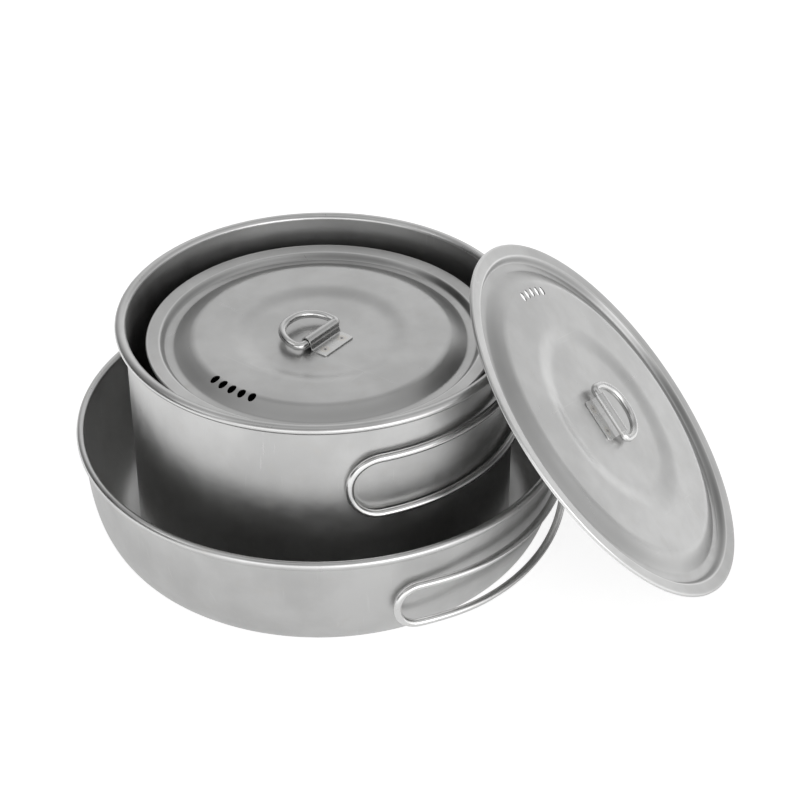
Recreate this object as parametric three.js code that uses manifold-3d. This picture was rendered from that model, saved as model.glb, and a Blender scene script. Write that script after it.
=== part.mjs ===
// Nesting cooking pot set in titanium sheet: frying pan, large pot, small pot,
// two strainer lids with a D-ring, and folding wire handles on every vessel.
// Millimetres, +Z up. The vessels share the Z axis and the pan's floor is at z = 0.
// The handles hinge near +X. The small lid lies on the small pot, and the large
// lid leans at a slope on the +X side with its foot near z = 0.
import * as THREE from "three";
import Module from "manifold-3d";

const wasm = await Module();
wasm.setup();

// ---------------------------------------------------------------- dimensions
const DEG = Math.PI / 180;
const GAP = 0.3; // clearance between pieces that touch or nearly touch
const SHEET = 0.5; // titanium sheet thickness
const STRAP = 0.55; // bracket and strap sheet thickness
const REVOLVE_SEGS = 48;

// Handle rod and the rolled knuckles it turns in
const WIRE_R = 1.6;
const WIRE_SIDES = 8;
const KNUCKLE_IN = WIRE_R + GAP;
const KNUCKLE_OUT = KNUCKLE_IN + 0.6;
const KNUCKLE_IN_SIDES = 12;
const KNUCKLE_OUT_SIDES = 16;
const BORE_OVERRUN = 4; // a bore's cutter runs this far past the knuckle's ends
const PLATE_SEGS = 8; // around a bracket's plate
const BRACKET_AZ = 12 * DEG; // handle side of the vessels

// Vessels. rimR: outside of the rolled rim; wallR: outside of the wall under it;
// beadH: height of the roll; knuckleZ: bottom and top of the knuckles;
// knuckleArc: length around the hinge circle from the bracket's middle to a knuckle.
const ROLL_LAP = 0.4; // the outside wall line stops this far below the roll's middle

const PAN = {
  rimR: 101.1,
  wallR: 98.3,
  floorR: 77.9, // flat part of the bottom
  top: 49.5,
  beadH: 3.7,
  knuckleZ: [18.4, 27.5],
  knuckleArc: 7.8,
};
const PAN_CURVE = 2.66; // exponent of the bulged side wall
const PAN_CURVE_H = PAN.top - 2.5; // height of the bulge's quarter curve
const PAN_CURVE_STEPS = 9;

const LARGE_POT = {
  rimR: 82.0,
  wallR: 78.0,
  corner: 7,
  floorZ: SHEET + GAP, // stands on the pan's floor
  top: 98.0,
  beadH: 3.6,
  knuckleZ: [60.5, 75.6],
  knuckleArc: 7.4,
};

const SMALL_LID_Z = 88.06; // edge of the small lid's top face
const SMALL_RIM_DROP = 0.8; // extra drop from the lid's flange to the rim
const SMALL_POT = {
  rimR: 69.2,
  wallR: 64.4,
  corner: 6,
  floorZ: LARGE_POT.floorZ + SHEET + GAP, // stands on the large pot's floor
  top: SMALL_LID_Z - SHEET - GAP - SMALL_RIM_DROP,
  beadH: 3.4,
  knuckleZ: [50.0, 62.0],
  knuckleArc: 6.6,
};
const POT_PLATE_OVERRUN = 2.2; // plate past each end of the knuckles

// Radius of the knuckles' centres. The pan's knuckles sink a little into the plate.
const PAN_KNUCKLE_SINK = 0.3;
PAN.hingeR = panRadiusAt(PAN.knuckleZ[1]) + GAP + STRAP + KNUCKLE_OUT - PAN_KNUCKLE_SINK;
LARGE_POT.hingeR = LARGE_POT.wallR + GAP + KNUCKLE_OUT;
SMALL_POT.hingeR = SMALL_POT.wallR + GAP + KNUCKLE_OUT + 0.1;

// Handles. sweep: bracket's middle to the loop's tip; prong: length of the turned
// ends; radius: distance of the rod from the axis, by degrees round from the bracket.
const HANDLE_STEP = 9; // longest straight division
const HANDLE_CORNER_SEGS = 5;
const PRONG_CORNER = 3.0;
const HANDLE_BLEND = 14; // length over which the rod leaves the hinge radius
const { smoothstep } = THREE.MathUtils;

PAN.handle = {
  sweep: 84.1 * DEG,
  zTop: 32.6,
  zBottom: 14.3,
  tipCorner: 9.0,
  prong: 8.2,
  radius: (degrees) =>
    degrees < 62
      ? 100.3 + 1.6 * smoothstep(degrees, 22, 60)
      : 101.9 - 1.9 * smoothstep(degrees, 62, 84),
};
LARGE_POT.handle = {
  sweep: 92.7 * DEG,
  zTop: 80.8,
  zBottom: 54.8,
  tipCorner: 12.4,
  prong: 10.9,
  radius: (degrees) => 80.1 + 1.0 * (1 - smoothstep(degrees, 15, 65)),
};
SMALL_POT.handle = {
  sweep: 92 * DEG,
  zTop: 67.0,
  zBottom: 45.0,
  tipCorner: 9,
  prong: 9.0,
  radius: () => SMALL_POT.wallR + 0.5 + WIRE_R,
};

// Lids, each in its own frame: edge of the top face at z = 0, hinge line along x,
// ring on the +y side, strainer holes on the -x side. Radii from edge to centre;
// strapX and ringX are the middles of the strap and ring along the hinge line.
const LARGE_LID = {
  edge: 81.7,
  flange: 76.8,
  wall: 74.4,
  groove: 71.7,
  plateau: 63.0,
  dishOut: 44.9,
  dishIn: 31.9,
  holeR: 58.6,
  strapX: 0.1,
  ringX: 0.0,
};
const SMALL_LID = {
  edge: 70.3,
  flange: 65.2,
  wall: 62.8,
  groove: 60.3,
  plateau: 51.5,
  dishOut: 38.0,
  dishIn: 26.0,
  holeR: 52.3,
  strapX: -3.0,
  ringX: -4.0, // this ring sits pushed to one side in its tube
};
const HEM = 1.5; // height of the turned-down edge
const FLANGE_RISE = 0.6; // the flange climbs this much from the groove to the edge
const GROOVE_DEPTH = 3.1;
const PLATEAU_Z = 0.3;
const DISH_Z = PLATEAU_Z - 1.25;

const HOLE_W = 3.0; // strainer hole across, along the row
const HOLE_L = 4.2; // strainer hole from the centre outward
const HOLE_PITCH = 4.88;
const HOLE_COUNT = 5;
const HOLE_SIDES = 12;
const HOLE_AZ = 178 * DEG; // middle of the row, from the lid's +x

const RING_WIRE_R = 1.6;
const RING_SIDES = 8;
const RING_BORE = RING_WIRE_R + GAP;
const RING_TUBE = RING_BORE + STRAP;
const RING_HALF = 12.2; // half width of the ring, rod centre
const RING_DEPTH = 15.0; // hinge line to the far side, rod centre
const RING_TAPER = 0.2; // each side leans in this much at the far end
const RING_CORNER = 2.2;
const RING_BOW_R = 11.4;
const RING_STEP = 8;
const RING_CORNER_SEGS = 6;
const RING_REST = 5 * DEG; // lift of the resting ring
const STRAP_LEN = 18.0;
const STRAP_DEPTH = 9.9;
const STRAP_ARC_SEGS = 16;
const HINGE_Y = -2.3; // hinge line off the lid's centre
const HINGE_Z = DISH_Z + GAP + RING_TUBE;

// Placing of the lids
const SMALL_LID_TURN = 52.7 * DEG;
const LARGE_LID_TURN = 152.4 * DEG; // about the lid's own axis
const LEAN = 47.0 * DEG; // slope of the leaning lid's face from level
const LEAN_AZ = -7.4 * DEG; // the way its face looks, seen from above
const LEAN_FOOT = new THREE.Vector3(171.0, -26.25, 1.12); // lowest point of its top edge

// ------------------------------------------------------------------- outlines
const polar = (radius, angle) => [radius * Math.cos(angle), radius * Math.sin(angle)];

const circle = (cx, cy, radius, sides) =>
  Array.from({ length: sides }, (_, i) => {
    const [x, y] = polar(radius, (2 * Math.PI * i) / sides);
    return [cx + x, cy + y];
  });

// Elliptical arc between two angles in degrees.
function arc([cx, cy], rx, ry, from, to, segs) {
  return Array.from({ length: segs + 1 }, (_, i) => {
    const angle = (from + ((to - from) * i) / segs) * DEG;
    return [cx + rx * Math.cos(angle), cy + ry * Math.sin(angle)];
  });
}

// Unit normal to the left of a segment, or null where the segment has no length.
function leftNormal([ax, ay], [bx, by]) {
  const dx = bx - ax;
  const dy = by - ay;
  const length = Math.hypot(dx, dy);
  return length < 1e-9 ? null : [-dy / length, dx / length];
}

// The line moved sideways to its left, mitred at every corner.
function offset(line, distance) {
  return line.map((point, i) => {
    const before = line[Math.max(0, i - 1)];
    const after = line[Math.min(line.length - 1, i + 1)];
    const normalIn = leftNormal(before, point) ?? leftNormal(point, after);
    const normalOut = leftNormal(point, after) ?? normalIn;
    const mx = normalIn[0] + normalOut[0];
    const my = normalIn[1] + normalOut[1];
    const scale = (2 * distance) / (mx * mx + my * my);
    return [point[0] + mx * scale, point[1] + my * scale];
  });
}

// Polyline with rounded corners from [x, y, radius] entries; the end entries have
// radius 0. Straights are divided so that no part is longer than maxStep.
function roundedLine(entries, maxStep, cornerSegs) {
  const corners = entries.map(([x, y]) => new THREE.Vector2(x, y));
  const line = [];
  const extendTo = (point) => {
    const last = line.at(-1);
    if (last) {
      const pieces = Math.ceil(last.distanceTo(point) / maxStep);
      for (let i = 1; i < pieces; i++) line.push(last.clone().lerp(point, i / pieces));
    }
    line.push(point);
  };
  entries.forEach(([, , radius], i) => {
    const corner = corners[i];
    if (!radius) {
      extendTo(corner);
      return;
    }
    const toPrevious = corners[i - 1].clone().sub(corner).normalize();
    const toNext = corners[i + 1].clone().sub(corner).normalize();
    const half = Math.acos(toPrevious.dot(toNext)) / 2;
    const bisector = toPrevious.clone().add(toNext).normalize();
    const centre = corner.clone().addScaledVector(bisector, radius / Math.sin(half));
    const start = corner.clone().addScaledVector(toPrevious, radius / Math.tan(half));
    const startAngle = Math.atan2(start.y - centre.y, start.x - centre.x);
    const sweep = Math.sign(toNext.cross(toPrevious)) * (Math.PI - 2 * half);
    extendTo(start);
    for (let k = 1; k <= cornerSegs; k++) {
      const [x, y] = polar(radius, startAngle + (sweep * k) / cornerSegs);
      line.push(new THREE.Vector2(centre.x + x, centre.y + y));
    }
  });
  return line;
}

// --------------------------------------------------------------------- solids
function geometryOf(positions, index) {
  const geometry = new THREE.BufferGeometry();
  geometry.setAttribute("position", new THREE.Float32BufferAttribute(positions, 3));
  geometry.setIndex(index);
  return geometry;
}

// Turns an (r, z) line that starts and ends on the axis into a closed solid.
function revolve(profile, segs = REVOLVE_SEGS) {
  const positions = [];
  const rows = profile.map(([r, z]) => {
    const first = positions.length / 3;
    const onAxis = r < 1e-6;
    if (onAxis) {
      positions.push(0, 0, z);
    } else {
      for (const [x, y] of circle(0, 0, r, segs)) positions.push(x, y, z);
    }
    return { onAxis, at: (i) => first + (onAxis ? 0 : i % segs) };
  });
  const index = [];
  for (let k = 0; k + 1 < rows.length; k++) {
    const row = rows[k];
    const next = rows[k + 1];
    for (let i = 0; i < segs; i++) {
      if (!row.onAxis) index.push(row.at(i), row.at(i + 1), next.at(i));
      if (!next.onAxis) index.push(row.at(i + 1), next.at(i + 1), next.at(i));
    }
  }
  return geometryOf(positions, index);
}

// Round rod along a path of points; closed = the rod runs back into itself.
function rod(path, radius, sides, closed = false) {
  const count = path.length;
  const tangentAt = (i) => {
    const before = closed ? path[(i + count - 1) % count] : path[Math.max(0, i - 1)];
    const after = closed ? path[(i + 1) % count] : path[Math.min(count - 1, i + 1)];
    const incoming = path[i].clone().sub(before).normalize();
    const outgoing = after.clone().sub(path[i]).normalize();
    return incoming.add(outgoing).normalize();
  };
  let tangent = tangentAt(0);
  // the section's side vector is carried along the path without twist
  const side =
    Math.abs(tangent.z) < 0.9 ? new THREE.Vector3(0, 0, 1) : new THREE.Vector3(1, 0, 0);
  side.addScaledVector(tangent, -side.dot(tangent)).normalize();
  const positions = [];
  for (let i = 0; i < count; i++) {
    const next = tangentAt(i);
    side.applyQuaternion(new THREE.Quaternion().setFromUnitVectors(tangent, next));
    side.addScaledVector(next, -side.dot(next)).normalize();
    tangent = next;
    const across = new THREE.Vector3().crossVectors(tangent, side);
    for (const [u, v] of circle(0, 0, radius, sides)) {
      const point = path[i].clone().addScaledVector(side, u).addScaledVector(across, v);
      positions.push(...point.toArray());
    }
  }
  const index = [];
  const spans = closed ? count : count - 1;
  for (let i = 0; i < spans; i++) {
    const ring = i * sides;
    const next = ((i + 1) % count) * sides;
    for (let k = 0; k < sides; k++) {
      const m = (k + 1) % sides;
      index.push(ring + k, ring + m, next + k, ring + m, next + m, next + k);
    }
  }
  if (!closed) {
    const end = (count - 1) * sides;
    for (let k = 1; k + 1 < sides; k++) {
      index.push(0, k + 1, k);
      index.push(end, end + k, end + k + 1);
    }
  }
  return geometryOf(positions, index);
}

// Prism over a plan outline, with optional bores.
function prism(outline, z0, z1, bores = []) {
  const toVectors = (points) => points.map(([x, y]) => new THREE.Vector2(x, y));
  const shape = new THREE.Shape(toVectors(outline));
  for (const bore of bores) shape.holes.push(new THREE.Path(toVectors(bore)));
  const geometry = new THREE.ExtrudeGeometry(shape, {
    depth: z1 - z0,
    steps: 1,
    bevelEnabled: false,
  });
  return weld(geometry.translate(0, 0, z0));
}

// Merges the coincident points of an unindexed geometry and drops empty triangles.
function weld(geometry) {
  const source = geometry.attributes.position;
  const seen = new Map();
  const positions = [];
  const merged = [];
  for (let i = 0; i < source.count; i++) {
    const point = [source.getX(i), source.getY(i), source.getZ(i)];
    const key = point.map((value) => Math.round(value * 1e4)).join();
    if (!seen.has(key)) {
      seen.set(key, positions.length / 3);
      positions.push(...point);
    }
    merged.push(seen.get(key));
  }
  const index = [];
  for (let i = 0; i < merged.length; i += 3) {
    const [a, b, c] = merged.slice(i, i + 3);
    if (a !== b && b !== c && a !== c) index.push(a, b, c);
  }
  return geometryOf(positions, index);
}

function toManifold(geometry) {
  return new wasm.Manifold(
    new wasm.Mesh({
      numProp: 3,
      vertProperties: new Float32Array(geometry.attributes.position.array),
      triVerts: new Uint32Array(geometry.index.array),
    }),
  );
}
function fromManifold(manifold) {
  const mesh = manifold.getMesh();
  const positions = [];
  for (let i = 0; i < mesh.numVert; i++) {
    const start = i * mesh.numProp;
    positions.push(...mesh.vertProperties.subarray(start, start + 3));
  }
  return geometryOf(positions, Array.from(mesh.triVerts));
}
const join = (parts) => fromManifold(parts.map(toManifold).reduce((a, b) => a.add(b)));
const cut = (body, tools) =>
  fromManifold(tools.map(toManifold).reduce((a, b) => a.subtract(b), toManifold(body)));

// ------------------------------------------------------------------- vessels
// Rim that rolls outward and down and ends short of the wall. This is the face
// that runs on from the inner wall; the sheet lies to its right.
function rolledRim({ wallR, rimR, top, beadH }) {
  const innerR = wallR - SHEET;
  const centre = [(innerR + rimR) / 2, top - beadH / 2];
  return arc(centre, (rimR - innerR) / 2, beadH / 2, 165, -118, 8);
}

// Body of a vessel from the outside line of its floor and lower wall.
function vesselBody(vessel, lowerWall) {
  const wallEnd = [vessel.wallR, vessel.top - vessel.beadH / 2 - ROLL_LAP];
  const wallOut = [...lowerWall, wallEnd];
  const wallIn = offset(wallOut, SHEET);
  const rim = rolledRim(vessel);
  const curlIn = offset(rim, -SHEET); // face of the sheet inside the roll
  // outside wall up to the roll, round inside the roll to its lip, back over the
  // outside of the roll and down the inner wall to the floor
  return revolve([...wallOut, ...curlIn, ...rim.reverse(), ...wallIn.reverse()]);
}

function panBody() {
  const lowerWall = [
    [0, 0],
    [PAN.floorR * 0.55, 0],
    [PAN.floorR, 0],
  ];
  // the curve's last station, at its top, gives way to the rim
  for (let i = 1; i < PAN_CURVE_STEPS; i++) {
    const angle = ((i / PAN_CURVE_STEPS) * Math.PI) / 2;
    const z = (1 - Math.cos(angle) ** (2 / PAN_CURVE)) * PAN_CURVE_H;
    lowerWall.push([panBulgeR(angle), z]);
  }
  return vesselBody(PAN, lowerWall);
}

function potBody(pot) {
  const { wallR, floorZ, corner } = pot;
  const flatR = wallR - corner;
  return vesselBody(pot, [
    [0, floorZ],
    [flatR * 0.6, floorZ],
    ...arc([flatR, floorZ + corner], corner, corner, -90, 0, 4),
  ]);
}

// Outside radius of the pan's wall at a parameter angle of the bulge, and at a height.
function panBulgeR(angle) {
  return PAN.floorR + (PAN.wallR - PAN.floorR) * Math.sin(angle) ** (2 / PAN_CURVE);
}
function panRadiusAt(z) {
  return panBulgeR(Math.acos((1 - z / PAN_CURVE_H) ** (PAN_CURVE / 2)));
}

// ------------------------------------------------------------------- handles
const hingeAngle = ({ knuckleArc, hingeR }, side) => BRACKET_AZ + (side * knuckleArc) / hingeR;

// One handle is a rod bent to a long loop that hugs the wall. Its two ends turn
// toward each other and sit in the top and bottom of a rolled knuckle. It is laid
// out flat, then wrapped round the vessel; side is -1 toward -y, 1 toward +y.
function handle(vessel, side) {
  const { sweep, zTop, zBottom, tipCorner, prong, radius } = vessel.handle;
  const hinge = hingeAngle(vessel, side);
  const span = BRACKET_AZ + side * sweep - hinge;
  const length = Math.abs(span) * radius(sweep / DEG);
  const flat = roundedLine(
    [
      [0, zTop - prong, 0],
      [0, zTop, PRONG_CORNER],
      [length, zTop, tipCorner],
      [length, zBottom, tipCorner],
      [0, zBottom, PRONG_CORNER],
      [0, zBottom + prong, 0],
    ],
    HANDLE_STEP,
    HANDLE_CORNER_SEGS,
  );
  const path = flat.map(({ x: along, y: z }) => {
    const angle = hinge + (along / length) * span;
    const blend = Math.min(1, along / HANDLE_BLEND);
    const wrapR = radius(Math.abs(angle - BRACKET_AZ) / DEG);
    return new THREE.Vector3(...polar(vessel.hingeR * (1 - blend) + wrapR * blend, angle), z);
  });
  return rod(path, WIRE_R, WIRE_SIDES);
}

// ------------------------------------------------------------------ brackets
// Angle, outside outline, bore outline and bore cutter of a vessel's two knuckles.
function knuckles(vessel) {
  const [z0, z1] = vessel.knuckleZ;
  return [-1, 1].map((side) => {
    const angle = hingeAngle(vessel, side);
    const [cx, cy] = polar(vessel.hingeR, angle);
    const boreR = KNUCKLE_IN / Math.cos(Math.PI / KNUCKLE_IN_SIDES);
    const bore = circle(cx, cy, boreR, KNUCKLE_IN_SIDES);
    return {
      angle,
      outline: circle(cx, cy, KNUCKLE_OUT, KNUCKLE_OUT_SIDES),
      bore,
      cutter: prism(bore, z0 - BORE_OVERRUN, z1 + BORE_OVERRUN),
    };
  });
}

// Evenly spaced angles across a bracket's plate.
const plateAngles = (halfAngle) =>
  Array.from(
    { length: PLATE_SEGS + 1 },
    (_, i) => BRACKET_AZ - halfAngle + (2 * halfAngle * i) / PLATE_SEGS,
  );

// Curved plate with a rolled knuckle at both edges.
function potBracket(pot) {
  const [z0, z1] = pot.knuckleZ;
  const plateIn = pot.wallR + GAP;
  const angles = plateAngles(pot.knuckleArc / pot.hingeR);
  const outer = angles.map((angle) => polar(plateIn + STRAP, angle));
  const inner = angles.map((angle) => polar(plateIn, angle));
  const plate = prism(
    [...outer, ...inner.reverse()],
    z0 - POT_PLATE_OVERRUN,
    z1 + POT_PLATE_OVERRUN,
  );
  const pair = knuckles(pot);
  const tubes = pair.map(({ outline, bore }) => prism(outline, z0, z1, [bore]));
  return cut(
    join([plate, ...tubes]),
    pair.map(({ cutter }) => cutter),
  );
}

const panClearR = (z) => panRadiusAt(z) + GAP;

// Plate that follows the pan's leaning wall.
function panPlate() {
  const [z0, z1] = PAN.knuckleZ;
  const heights = [z0 - 1.5, z0 + 3, (z0 + z1) / 2, z1 - 3, z1 + 1.5];
  const section = [
    ...heights.map((z) => [panClearR(z) + STRAP, z]),
    ...heights.map((z) => [panClearR(z), z]).reverse(),
  ];
  const size = section.length;
  const positions = [];
  for (const angle of plateAngles(PAN.knuckleArc / PAN.hingeR + 0.012)) {
    for (const [r, z] of section) positions.push(...polar(r, angle), z);
  }
  const index = [];
  for (let i = 0; i < PLATE_SEGS; i++) {
    for (let k = 0; k < size; k++) {
      const a = i * size + k;
      const b = i * size + ((k + 1) % size);
      index.push(a, a + size, b, b, a + size, b + size);
    }
  }
  // end faces, one strip between each pair of heights
  const end = PLATE_SEGS * size;
  for (let a = 0; a + 1 < heights.length; a++) {
    const b = a + 1;
    const c = size - 1 - a;
    const d = size - 2 - a;
    index.push(a, b, c, b, d, c);
    index.push(end + a, end + c, end + b, end + b, end + c, end + d);
  }
  return geometryOf(positions, index);
}

// Upright web from a pan knuckle in to the plate.
function panWeb(angle) {
  const [z0, z1] = PAN.knuckleZ;
  const [ux, uy] = polar(1, angle);
  const half = STRAP / 2;
  const innerR = panClearR(z0) - 1;
  const outerR = PAN.hingeR - KNUCKLE_IN + 0.1;
  const corner = (r, across) => [ux * r + uy * across, uy * r - ux * across];
  const outline = [
    corner(innerR, half),
    corner(outerR, half),
    corner(outerR, -half),
    corner(innerR, -half),
  ];
  return prism(outline, z0, z1);
}

// Everything nearer the pan's wall than the clearance, as a cutter.
function panClearance() {
  const segs = 112;
  const margin = 6;
  const start = PAN.knuckleZ[0] - margin;
  const profile = [[0, start]];
  for (let z = start; z <= PAN.knuckleZ[1] + margin; z += 2) {
    profile.push([panClearR(z) / Math.cos(Math.PI / segs), z]);
  }
  profile.push([0, profile.at(-1)[1]]);
  return revolve(profile, segs);
}

function panBracket() {
  const [z0, z1] = PAN.knuckleZ;
  const pair = knuckles(PAN);
  const mounts = pair.flatMap(({ angle, outline }) => [prism(outline, z0, z1), panWeb(angle)]);
  const bores = pair.map(({ cutter }) => cutter);
  return cut(join([panPlate(), ...mounts]), [...bores, panClearance()]);
}

// ---------------------------------------------------------------------- lids
// [r, z] along the top face, from the centre out and down the turned edge.
function lidTop({ edge, flange, wall, groove, plateau, dishOut, dishIn }) {
  const dishSlope = dishOut - dishIn;
  return [
    [0, DISH_Z],
    [dishIn, DISH_Z],
    [dishIn + dishSlope * 0.3, DISH_Z + 0.22],
    [dishIn + dishSlope * 0.7, PLATEAU_Z - 0.22],
    [dishOut, PLATEAU_Z],
    [plateau - 1.2, PLATEAU_Z],
    [plateau + 1.2, PLATEAU_Z - 0.35],
    [groove - 2.2, -GROOVE_DEPTH + 0.75],
    [groove + 0.3, -GROOVE_DEPTH],
    [wall - 0.6, -GROOVE_DEPTH],
    [wall + 0.1, -GROOVE_DEPTH + 0.5],
    [wall + 1.0, -1.6],
    [wall + 1.6, -0.9],
    [flange, -FLANGE_RISE],
    [edge - 0.6, 0],
    [edge, -0.45],
    [edge, -HEM],
  ];
}

// Oval strainer hole, longer outward than along the row.
function strainerHole(holeR, angle) {
  const [ux, uy] = polar(1, angle);
  const outline = circle(0, 0, 1, HOLE_SIDES).map(([u, v]) => {
    const out = holeR + (u * HOLE_L) / 2;
    const across = (v * HOLE_W) / 2;
    return [out * ux - across * uy, out * uy + across * ux];
  });
  return prism(outline, -4, 3);
}

function lidDisc(lid) {
  const top = lidTop(lid);
  const hemInner = lid.edge - SHEET;
  const under = [...offset(top.slice(0, -2), -SHEET), [hemInner, -0.85], [hemInner, -HEM]];
  const holes = Array.from({ length: HOLE_COUNT }, (_, i) => {
    const along = (i - (HOLE_COUNT - 1) / 2) * HOLE_PITCH;
    return strainerHole(lid.holeR, HOLE_AZ + along / lid.holeR);
  });
  return cut(revolve([...under, ...top.reverse()]), holes);
}

// Plate on the dish; its edge climbs, rolls over the ring's rod and tucks under.
function lidStrap({ strapX }) {
  const axis = [HINGE_Y, HINGE_Z];
  const boreR = RING_BORE / Math.cos(Math.PI / 24);
  const bottom = HINGE_Z - RING_TUBE;
  const top = bottom + STRAP;
  const outline = [
    ...arc(axis, RING_TUBE, RING_TUBE, 205, -85, STRAP_ARC_SEGS),
    ...arc(axis, boreR, boreR, -85, 215, STRAP_ARC_SEGS),
    [HINGE_Y - 2.0, bottom + 0.3],
    [HINGE_Y - 2.6, bottom],
    [HINGE_Y - STRAP_DEPTH, bottom],
    [HINGE_Y - STRAP_DEPTH, top],
    [HINGE_Y - 3.0, top],
    [HINGE_Y - 2.5, top + 0.3],
  ];
  // drawn in (y, z) and extruded along x
  const yzToLid = new THREE.Matrix4().set(
    0, 0, 1, strapX,
    1, 0, 0, 0,
    0, 1, 0, 0,
    0, 0, 0, 1,
  );
  return prism(outline.reverse(), -STRAP_LEN / 2, STRAP_LEN / 2).applyMatrix4(yzToLid);
}

// D-ring: straight side in the tube, small corners, then one broad bow.
function lidRing({ ringX }) {
  const x0 = ringX - RING_HALF;
  const x1 = ringX + RING_HALF;
  const flat = roundedLine(
    [
      [ringX, 0, 0],
      [x1, 0, RING_CORNER],
      [x1 - RING_TAPER, RING_DEPTH, RING_BOW_R],
      [x0 + RING_TAPER, RING_DEPTH, RING_BOW_R],
      [x0, 0, RING_CORNER],
      [ringX, 0, 0],
    ],
    RING_STEP,
    RING_CORNER_SEGS,
  );
  flat.pop(); // the last point repeats the first
  const path = flat.map(({ x, y }) => {
    const [out, lift] = polar(y, RING_REST);
    return new THREE.Vector3(x, HINGE_Y + out, HINGE_Z + lift);
  });
  return rod(path, RING_WIRE_R, RING_SIDES, true);
}

function smallLidPlace() {
  return new THREE.Matrix4().makeRotationZ(SMALL_LID_TURN).setPosition(0, 0, SMALL_LID_Z);
}

function largeLidPlace() {
  const facing = new THREE.Vector3(...polar(1, LEAN_AZ), 0);
  const up = new THREE.Vector3(0, 0, 1);
  const [cos, sin] = polar(1, LEAN);
  const normal = facing.clone().multiplyScalar(sin).addScaledVector(up, cos);
  const upSlope = facing.clone().multiplyScalar(-cos).addScaledVector(up, sin);
  const across = new THREE.Vector3().crossVectors(normal, upSlope);
  return new THREE.Matrix4()
    .makeBasis(upSlope, across, normal)
    .multiply(new THREE.Matrix4().makeRotationZ(LARGE_LID_TURN))
    .setPosition(LEAN_FOOT.clone().addScaledVector(upSlope, LARGE_LID.edge));
}

// ------------------------------------------------------------------ assembly
const sheetMaterial = new THREE.MeshStandardMaterial({
  color: 0xb4b2ae,
  metalness: 1,
  roughness: 0.45,
});
const wireMaterial = new THREE.MeshStandardMaterial({
  color: 0xc9c7c3,
  metalness: 1,
  roughness: 0.28,
});

const group = new THREE.Group();
group.name = "cooking_pot_set";

function add(name, geometry, material) {
  geometry.computeVertexNormals();
  const mesh = new THREE.Mesh(geometry, material);
  mesh.name = name;
  group.add(mesh);
}

function addVessel(name, vessel, body, bracket) {
  add(`${name}_body`, body, sheetMaterial);
  add(`${name}_handle_bracket`, bracket, sheetMaterial);
  add(`${name}_handle_front`, handle(vessel, -1), wireMaterial);
  add(`${name}_handle_rear`, handle(vessel, 1), wireMaterial);
}

function addLid(name, lid, place) {
  add(`${name}_disc`, lidDisc(lid).applyMatrix4(place), sheetMaterial);
  add(`${name}_hinge_strap`, lidStrap(lid).applyMatrix4(place), sheetMaterial);
  add(`${name}_ring`, lidRing(lid).applyMatrix4(place), wireMaterial);
}

addVessel("frying_pan", PAN, panBody(), panBracket());
addVessel("large_pot", LARGE_POT, potBody(LARGE_POT), potBracket(LARGE_POT));
addVessel("small_pot", SMALL_POT, potBody(SMALL_POT), potBracket(SMALL_POT));
addLid("small_lid", SMALL_LID, smallLidPlace());
addLid("large_lid", LARGE_LID, largeLidPlace());

export default group;
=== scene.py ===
"""Nesting titanium cook set: small pot in large pot in frying pan, all round the Z axis.

The frying pan stands on z = 0. Each vessel has two wire handles, hinged in one bracket near +X
and folded round its wall towards -Y (front) and +Y (rear). The small lid lies on the small pot;
the large lid leans on the vessels with its foot out at +X. Sizes are in millimetres and become
metres through MM; the stage is in metres.
"""

import math
from types import SimpleNamespace

import bmesh
import bpy
from mathutils import Matrix, Vector


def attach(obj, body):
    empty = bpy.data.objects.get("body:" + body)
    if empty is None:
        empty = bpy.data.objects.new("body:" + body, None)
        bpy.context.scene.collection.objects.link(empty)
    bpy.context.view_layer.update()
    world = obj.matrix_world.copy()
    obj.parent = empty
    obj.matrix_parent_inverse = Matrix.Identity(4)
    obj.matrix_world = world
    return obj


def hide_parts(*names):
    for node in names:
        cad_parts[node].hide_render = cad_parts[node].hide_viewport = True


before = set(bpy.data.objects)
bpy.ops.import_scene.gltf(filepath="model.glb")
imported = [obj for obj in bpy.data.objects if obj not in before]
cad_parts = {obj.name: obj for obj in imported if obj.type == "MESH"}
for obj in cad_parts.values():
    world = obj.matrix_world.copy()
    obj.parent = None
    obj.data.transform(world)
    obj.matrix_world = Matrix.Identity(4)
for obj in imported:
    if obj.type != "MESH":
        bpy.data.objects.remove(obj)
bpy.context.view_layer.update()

MM = 0.001
DEG = math.pi / 180

# ------------------------------------------------------------------ dimensions
GAP = 0.3
SHEET = 0.5  # thickness of walls and lids
STRAP = 0.55  # thickness of brackets and lid straps
WIRE_R = 1.6

# frying pan: R are outside radii, the wall is a superellipse of exponent PAN_CURVE
PAN_RIM_R, PAN_WALL_R, PAN_FLOOR_R = 101.1, 98.3, 77.9
PAN_TOP, PAN_BEAD_H, PAN_CURVE = 49.5, 3.7, 2.66
PAN_CURVE_H = PAN_TOP - 2.5

POT_RIM_R, POT_WALL_R, POT_CORNER = 82.0, 78.0, 7.0
POT_TOP, POT_BEAD_H = 98.0, 3.6
POT_FLOOR_Z = SHEET + GAP

SMALL_LID_R, SMALL_LID_Z, SMALL_LID_TURN = 70.3, 88.06, 52.7 * DEG
SMALL_RIM_R, SMALL_WALL_R, SMALL_CORNER = 69.2, 64.4, 6.0
SMALL_TOP, SMALL_BEAD_H = SMALL_LID_Z - SHEET - GAP - 0.8, 3.4
SMALL_FLOOR_Z = POT_FLOOR_Z + SHEET + GAP

BEAD_TO_WALL = 0.4  # the straight wall ends this far below the bead's centre

# handles and their brackets
BRACKET_AZ = 12 * DEG
KNUCKLE_IN = WIRE_R + GAP
KNUCKLE_OUT = KNUCKLE_IN + 0.6
KNUCKLE_MID = (KNUCKLE_IN + KNUCKLE_OUT) / 2
BRACKET_GAP = GAP * 0.6  # between wall and bracket plate

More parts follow.
